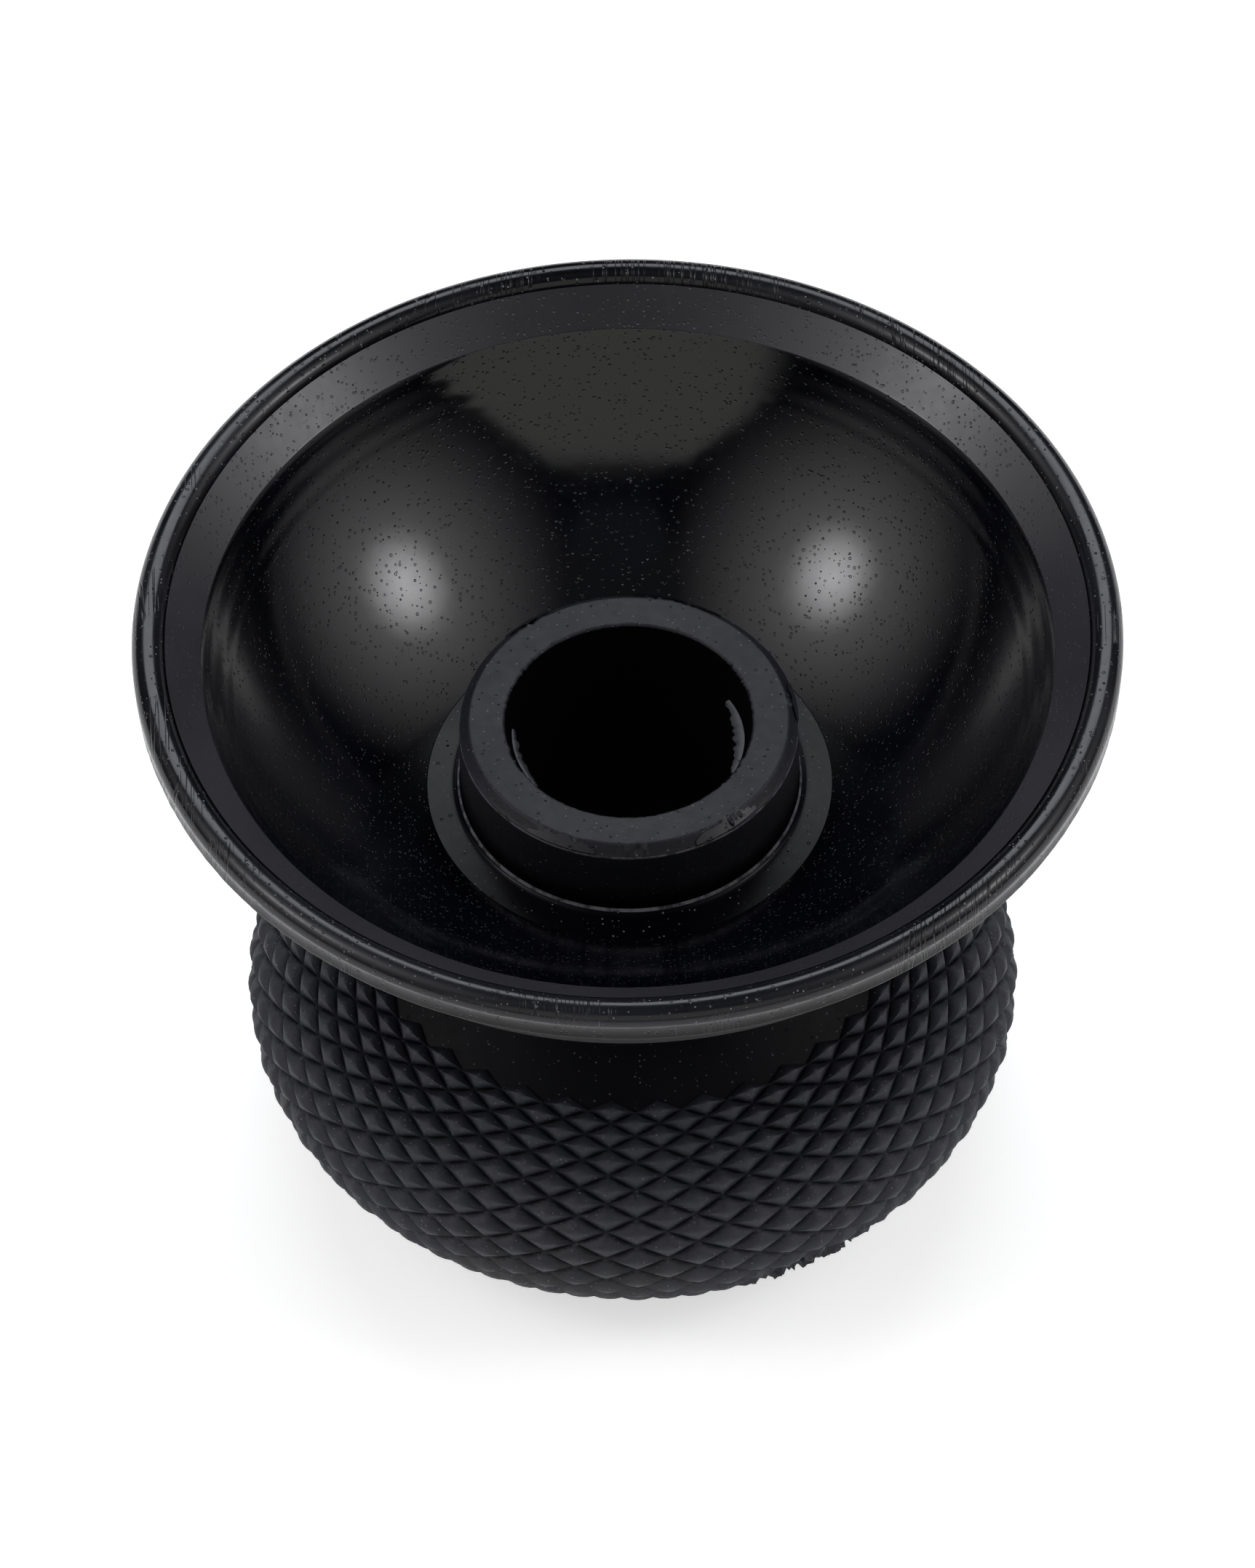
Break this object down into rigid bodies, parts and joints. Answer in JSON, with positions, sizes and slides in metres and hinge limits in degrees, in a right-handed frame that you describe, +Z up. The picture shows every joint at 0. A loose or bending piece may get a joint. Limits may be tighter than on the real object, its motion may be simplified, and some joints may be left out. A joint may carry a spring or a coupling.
{
  "type": "knurled funnel bowl",
  "caption": "Glossy black funnel-shaped dish with a rounded rim and a raised central bored socket, on a smooth waist and a flattened ball grip with a diamond knurl.",
  "frame": {"origin": "centre of the base, on the surface that the foot ring stands on", "axes": "+Z up along the axis of symmetry, out of the socket's mouth; X and Y are alike"},
  "size_m": [0.088, 0.088, 0.0615],
  "materials": {
    "rim_gloss": "glossy black, slightly rounded and worn",
    "dish_gloss": "glossy black with fine moulding pits and specks",
    "bell_satin": "satin black",
    "ring_gloss": "glossy black",
    "sleeve_matte": "matte black, rough moulded edge",
    "grip_rubber": "matte black, moulded diamond knurl",
    "core_plastic": "plain moulded",
    "washer_steel": "plain steel",
    "nut_steel": "plain steel",
    "cap_plastic": "satin black",
    "foot_rubber": "matte black"
  },
  "bodies": {
    "root": {"rim_bead": "rim_gloss", "dish_liner": "dish_gloss", "outer_bell": "bell_satin", "seat_ring": "ring_gloss", "socket_sleeve": "sleeve_matte", "knurled_grip": "grip_rubber", "knob_core": "core_plastic", "clamp_washer": "washer_steel", "clamp_nut": "nut_steel", "base_cap": "cap_plastic", "foot_ring": "foot_rubber"}
  },
  "joints": []
}
